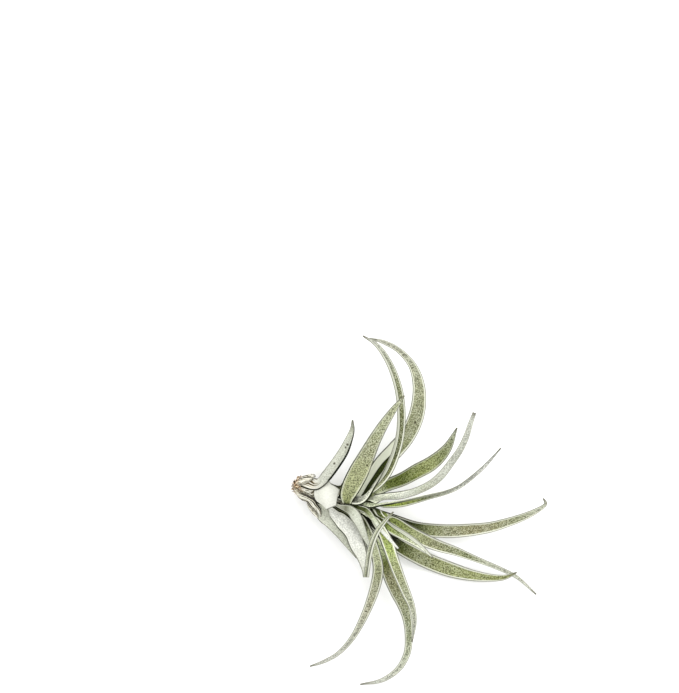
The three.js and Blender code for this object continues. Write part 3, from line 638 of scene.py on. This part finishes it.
leaf("tall_wide_leaf", wide_skin, tier=5, side=137, wrap=40, free=31, channel=75, rows=[
    (-23.9, 13, 17.4, 7.4, 30), (-18.4, 21.2, 16.8, 8.6, 28), (-12.4, 27.4, 17, 9, 26),
    (-7.2, 33.4, 18, 8.6, 24), (-3.2, 41, 19.4, 8.2, 22), (-1.3, 49, 20.8, 7.3, 18),
    (-1.4, 57.5, 21.8, 5.8, 14), (-4, 65.4, 22, 3.9, 10), (-10, 72.2, 21.2, 2.6, 10),
    (-17, 76, 19.6, 1.9, 10), (-23, 77.6, 18.2, 0, 10)])

# Right of them: a broad dark leaf, a pale one that shows its underside along the top of it, and a
# thin fresh green one folded along its keel.
fresh_back = ((0, "#eaf2cd"), (0.4, "#c3caa6"), (1, "#a9ac94"))
# The broad leaf's foot is painted dark as the shade between the leaf bases.
broad_skin = leaf_skin(
    "scaly green skin of the broad leaf",
    ((0, "#2c3410"), (0.17, "#7c8358"), (0.24, "#c5cca2"), (0.31, "#6b7737"), (0.42, "#566310"),
     (0.52, "#78833a"), (0.63, "#a0a86c"), (0.8, "#8c9361"), (1, "#adb19b")), fresh_back, 0.12, 0.35,
    membrane=1)
leaf("right_broad_leaf", broad_skin, tier=6, side=110, wrap=46, free=34.5, channel=65, rows=[
    (-20.7, 9.2, 19.4, 5.4, 20), (-14.4, 12.2, 17.6, 6.4, 24), (-8.5, 14.6, 16.2, 7.2, 26),
    (-2, 18.2, 15.2, 7.8, 26), (3.4, 21, 15.2, 7.6, 24), (8.2, 24.6, 16, 6.4, 20),
    (12, 29, 17.2, 4.4, 16), (16.2, 37.4, 19.6, 0, 14)])
right_pale_skin = leaf_skin(
    "silver underside of the right pale leaf", ((0, "#99a070"), (1, "#a7ab8a")),
    ((0, "#e6ecca"), (0.15, "#eff3dc"), (0.3, "#e8ebdd"), (0.43, "#c4c8b2"), (0.6, "#d0d2c6"),
     (0.7, "#b3b5a8"), (0.8, "#bdbfb2"), (1, "#c9cbc0")), 0.35, 0.7, speckle=0.55)
leaf("right_pale_leaf", right_pale_skin, tier=7, side=103, wrap=38, free=38, channel=80, rows=[
    (-17.6, 6.2, 25.8, 3.8, 210), (-9.5, 7, 26.4, 3.8, 195), (-2.7, 8.8, 26.6, 3.4, 190),
    (4, 11.9, 27, 3.5, 190), (8.8, 15.8, 28, 3.6, 190), (13.1, 21.2, 29, 3.4, 190),
    (17.4, 27.4, 30, 3.1, 190), (20.2, 33.3, 31, 2.8, 190), (22.1, 39.1, 31.6, 2.3, 190),
    (23.9, 44.3, 32, 1.6, 190)])
thin_skin = leaf_skin(
    "scaly green skin of the thin leaf",
    ((0, "#a3b45f"), (0.22, "#a4b754"), (0.32, "#8f9b51"), (0.43, "#74795a"), (0.52, "#969984"),
     (0.62, "#b5b7ac"), (0.75, "#a6a69f"), (0.86, "#dbdbd4"), (1, "#8f8e8c")), fresh_back, 0.2, 0.5,
    membrane=0.2)
leaf("thin_right_leaf", thin_skin, tier=8, side=50, wrap=36, free=41.5, channel=120, rows=[
    (-17.6, 3.3, 31.4, 5.4, 80), (-9.5, 4.2, 33, 6, 64), (-2.7, 5.6, 33.6, 5.2, 60),
    (4, 7.2, 33.6, 4.2, 58), (10.8, 8.8, 33, 3.4, 55), (16.3, 11, 32.4, 2.9, 50),
    (21.6, 14.6, 31.8, 2.5, 40), (28.6, 20.6, 30.8, 1.8, 30), (35.8, 28.4, 29.8, 0, 30)])

# The lower right leaves fan out over the ground: the long one with a curled grey tip, a narrow one,
# a short young one in front of it, and the broad low one, whose foot is painted near black as the
# shade of the crown.
# The long right leaf's foot is painted near black as the shade under the crown.
long_skin = leaf_skin(
    "scaly olive skin of the long right leaf",
    ((0, "#0c1003"), (0.27, "#151b05"), (0.35, "#525b22"), (0.41, "#969c6c"), (0.5, "#adae86"),
     (0.62, "#969268"), (0.8, "#9da17c"), (1, "#c2c4b2")), olive_back, 0.26, 0.85, membrane=0)
leaf("long_right_leaf", long_skin, tier=6, side=-172, wrap=24, free=34, channel=80, rows=[
    (-19.6, -1.2, 17, 4.6, 16), (-11.7, -3.9, 13.6, 5.2, 20), (-3.4, -7, 10.8, 6.4, 24),
    (4.6, -8.4, 9, 7.2, 26), (13.1, -8.8, 8, 7.2, 26), (22.1, -8.3, 7.4, 6.7, 26),
    (31.1, -7.2, 7.2, 5.6, 24), (38.4, -5.3, 7.4, 4.7, 22), (45.6, -2.9, 8, 3.8, 20),
    (51.8, -0.1, 9.2, 2.7, 20), (56.2, 3.1, 10.8, 1.5, 20), (55.2, 5.5, 12.2, 0, 20)])
lower_narrow_skin = leaf_skin(
    "scaly olive skin of the narrow right leaf",
    ((0, "#55601f"), (0.14, "#8b994c"), (0.24, "#a1ad67"), (0.33, "#b7bd8d"), (0.42, "#94966d"),
     (0.6, "#868c63"), (0.75, "#b2b5a0"), (1, "#c4c6b8")), olive_back, 0.24, 0.9)
leaf("narrow_right_leaf", lower_narrow_skin, tier=7, side=-150, wrap=44, free=38, channel=75,
     rows=[
    (-17, -2.8, 20.6, 4.4, 20), (-11.7, -4.4, 19.6, 5, 22), (-5, -9, 18, 6.2, 22),
    (1.8, -12.9, 16.2, 6.5, 20), (8.6, -15.8, 14.4, 5.6, 18), (15.3, -18, 12.2, 4.5, 16),
    (22.1, -20.7, 9.6, 3.3, 14), (28.8, -23.4, 6.8, 2.4, 10), (36, -26.4, 4, 1.9, 8),
    (43.2, -30, 2.2, 1.5, 0), (52.2, -38, 1.2, 0, 0)])
inner_skin = leaf_skin(
    "scaly green skin of the inner short leaf",
    ((0, "#4f5c24"), (0.25, "#748138"), (0.38, "#9dad5c"), (0.55, "#b3bf82"), (0.7, "#d6ddb5"),
     (0.85, "#f0f4dc"), (1, "#fafde6")), fresh_back, 0.22, 0.95,
    wall=(0, -1, 0.3, -0.45, 0.75, 0, 1.05))
leaf("inner_short_leaf", inner_skin, tier=8, side=-134, wrap=30, free=41, channel=85, rows=[
    (-18.2, -3.8, 24.6, 4.4, 20), (-13.1, -7.7, 24.6, 5.2, 26), (-7.7, -10.8, 23.8, 4.8, 26),
    (-2.7, -14, 22.4, 3.4, 20), (1.2, -17.1, 21, 2, 20), (5.4, -21.1, 19.4, 0, 20)])
# The low right leaf's foot is painted near black as the shade of the crown.
low_skin = leaf_skin(
    "scaly olive skin of the low right leaf",
    ((0, "#0f1403"), (0.36, "#131702"), (0.42, "#59622a"), (0.5, "#979c6c"), (0.7, "#a6ac78"),
     (0.9, "#8f955a"), (1, "#858a5b")), olive_back, 0.16, 0.8, membrane=0.2)
leaf("low_right_leaf", low_skin, tier=4, side=-148, wrap=40, free=27, channel=60, rows=[
    (-21.5, -5.4, 10.3, 6.4, -10), (-14.8, -12.2, 6.5, 7.1, -12), (-9.5, -16.3, 4.3, 7.3, -14),
    (-2.7, -20.2, 2.2, 7.5, -14), (4, -23.4, 1, 7.4, -10), (13.1, -26.8, 0.35, 7.1, -8),
    (22.1, -29.2, 1.4, 5.5, -8), (31.1, -30.4, 3.4, 3.6, -8), (37.8, -30.2, 5.6, 2.3, -8),
    (43.2, -27.9, 8, 0, -8)])

# The lower leaves curve down and to the left to long thin tips, the bright green youngest one over
# the two old ones.
left_skin = leaf_skin(
    "scaly olive skin of the lower left leaf",
    ((0, "#3e4420"), (0.13, "#5d6438"), (0.2, "#eaf1c8"), (0.3, "#d0d5ae"), (0.4, "#a2a57e"),
     (0.55, "#a7a58a"), (0.75, "#aaab9c"), (0.88, "#c4c5bb"), (1, "#a3a39a")), olive_back, 0.26, 0.8,
    ((-24.8, -45.4, 11.2, 0.5),))
leaf("lower_left_leaf", left_skin, tier=6, side=-98, wrap=40, free=34, channel=80, rows=[
    (-25.6, -6.2, 20.6, 4.2, -20), (-22.4, -13.2, 19, 4.4, -16), (-20.3, -20.2, 18, 4.8, -12),
    (-19.4, -26.6, 16.8, 5.2, -10), (-20.4, -33, 15, 5, -8), (-22.7, -40.6, 12.4, 4.3, -4),
    (-26.2, -49, 9.4, 3.4, 0), (-31, -57.6, 6.6, 2.5, 0), (-37.4, -64.6, 4.2, 1.8, 0),
    (-44, -68.3, 2.6, 1.4, 0), (-50, -70.4, 1.6, 0, 0)])
# The long bottom leaf's foot is painted dark as the shade between the leaf bases.
bottom_skin = leaf_skin(
    "scaly olive skin of the long bottom leaf",
    ((0, "#1b2008"), (0.19, "#dfeab8"), (0.27, "#d0dbab"), (0.33, "#67702f"), (0.4, "#93926a"),
     (0.5, "#9c9f78"), (0.65, "#99a07b"), (0.73, "#9ea387"), (0.82, "#b9bcaa"), (1, "#d0d1c9")),
    olive_back, 0.26, 0.8, membrane=1, wither=0.93)
leaf("long_bottom_leaf", bottom_skin, tier=5, side=-112, wrap=46, free=31, channel=75, rows=[
    (-25.4, -7.4, 16.4, 4.8, -10), (-19.8, -15.3, 13.8, 5.4, -14), (-16.6, -22.9, 12, 6.3, -20),
    (-14.2, -29.9, 10.6, 7.2, -24), (-11.2, -36.5, 9.4, 7.2, -24), (-8.4, -42, 8.4, 6.3, -20),
    (-6.4, -48, 7.4, 4.8, -14), (-5.5, -56, 6.2, 3.8, -10), (-6.3, -64.6, 4.8, 3.2, -6),
    (-10.2, -71.6, 3.4, 2.6, 0), (-17.6, -76.7, 2.3, 1.8, 0), (-27.4, -78.6, 1.5, 0, 0)])
bright_skin = leaf_skin(
    "scaly bright green skin of the young leaf",
    ((0, "#59642c"), (0.14, "#7e8a48"), (0.24, "#a1ad66"), (0.32, "#b1c172"), (0.42, "#a9b17c"),
     (0.5, "#999e6c"), (0.6, "#999e79"), (0.7, "#abaf90"), (0.85, "#a8aa98"), (1, "#b5b7ab")),
    fresh_back, 0.2, 0.9, membrane=0.8)
leaf("bright_green_leaf", bright_skin, tier=8, side=-66, wrap=26, free=41, channel=80, rows=[
    (-20.6, -4.6, 28.2, 4.4, -16), (-17.8, -9, 28.8, 5.2, -16), (-15.3, -14.6, 28.2, 6.1, -18),
    (-13.3, -20.4, 26.6, 5.7, -18), (-11.2, -26.1, 24.4, 5.3, -16), (-9, -31.5, 22, 4.8, -14),
    (-6.6, -37.2, 19.4, 4.2, -10), (-4.2, -43, 16.8, 3.1, -8), (-3, -50, 13.8, 2.1, -4),
    (-4, -59.2, 10, 0, 0)])

# The youngest leaves: a small white spike that stands out of the crown, and the closed bud of
# leaves still rolled round each other.
# The spike's underside is painted dark at its foot as the shade deep in the crown.
spike_skin = leaf_skin(
    "white scaly skin of the spike leaf", ((0, "#d9dccb"), (1, "#dfe1d4")),
    ((0, "#3f4720"), (0.27, "#4a5226"), (0.35, "#8d9768"), (0.44, "#c9d1b0"), (0.55, "#e6ebd6"),
     (0.72, "#f6f7ee"), (1, "#fafbf4")), 0.4, 0.8, tip="#e4e4dc", speckle=0.5)
leaf("white_spike", spike_skin, tier=8, start=32.5, side=-10, wrap=20, free=41.5, channel=110,
     rows=[
    (-20.8, -4.4, 31.2, 1.9, 180), (-17.7, -8.6, 32.8, 1.8, 180), (-14.4, -12.3, 34.2, 1.5, 180),
    (-10.4, -16.6, 35.6, 0, 180)])

# The bud is painted dark toward its foot as the shade deep in the crown, and each fold carries the painted
# dark margin as shade in its furrow, with the pale line beside it.
bud_skin = leaf_skin(
    "scaly green skin of the bud", ((0, "#2b3311"), (0.5, "#4d591f"), (1, "#a3b064")), fresh_back, 0.1,
    0.9)
bud_length = 12
bud_folds = 3
fold_depth = 0.15
bud_radius = core_radius(stem_length)
bud_mesh = bmesh.new()
bud_along = bud_mesh.verts.layers.float.new("along")
bud_inward = bud_mesh.verts.layers.float.new("inward")
bud_outline = [(0.01, 0), (0.8, 0), (1.15, 0.2), (1.3, 0.4), (1.0, 0.65), (0.5, 0.88), (0.01, 1)]
bud_foot = stem_point(stem_length + clearance)
corners = [bud_mesh.verts.new(bud_foot + stem_top * out * bud_radius + stem_along * place * bud_length)
           for out, place in bud_outline]
outline = [bud_mesh.edges.new(pair) for pair in zip(corners, corners[1:])]
bmesh.ops.subdivide_edges(bud_mesh, edges=outline, cuts=3, smooth=1)
bmesh.ops.spin(bud_mesh, geom=bud_mesh.verts[:] + bud_mesh.edges[:], cent=bud_foot, axis=stem_along,
               dvec=(0, 0, 0), angle=2 * pi, steps=36, use_merge=True)
bmesh.ops.remove_doubles(bud_mesh, verts=bud_mesh.verts, dist=0.02)
bmesh.ops.recalc_face_normals(bud_mesh, faces=bud_mesh.faces)
for corner in bud_mesh.verts:
    place = (corner.co - bud_foot).dot(stem_along)
    arm = corner.co - bud_foot - stem_along * place
    turn = atan2(arm.dot(stem_side), arm.dot(stem_top)) / (2 * pi) + place / bud_length
    corner.co -= arm * fold_depth * (turn * bud_folds % 1) ** 3
    corner[bud_along] = place / bud_length
    corner[bud_inward] = margin_run * (1 - turn * bud_folds % 1)
finish_piece("bud_skin", bud_mesh, bud_skin, "bud")

# Leaves on the underside carry the plant and touch the ground. The photo hides them, so they are
# plain: shaded and dull, with the same scales.
under_skin = leaf_skin(
    "dull scaly skin of the leaves underneath", ((0, "#7d8258"), (1, "#9a9c7c")),
    ((0, "#c4c7b0"), (1, "#a9ab95")), 0.3, 0.5)
leaf("under_leaf_upper", under_skin, tier=2, side=122, wrap=42, free=17, channel=90, rows=[
    (-35.6, 9.8, 9.2, 5, 10), (-28.8, 17, 3.8, 5, 5), (-25.6, 24, 1, 4.4, 0), (-22.4, 30.5, 0.35, 3.4, 0),
    (-19.6, 36.5, 1.4, 0, 0)])
leaf("under_leaf_lower", under_skin, tier=2, start=13.2, side=-150, wrap=26, free=16, channel=90,
     rows=[
    (-36.5, 1.5, 7, 5.6, 0), (-31.8, -5.5, 3.2, 5.4, 0), (-28.3, -11.5, 0.6, 4.8, 0),
    (-25.8, -17, 0.35, 3.6, 0), (-24.2, -22.5, 1.4, 0, 0)])
leaf("under_leaf_right", under_skin, tier=3, side=176, wrap=46, free=22, channel=90, rows=[
    (-30, 2.6, 10.5, 5.4, 0), (-21, -1, 5.6, 5, 0), (-11.5, -5.2, 2, 4.6, 0), (-2, -8.2, 0.4, 4.4, 0),
    (8, -9.4, 0.25, 4, 0), (16, -9.2, 0.8, 3, 0), (23, -8.2, 1.6, 0, 0)])
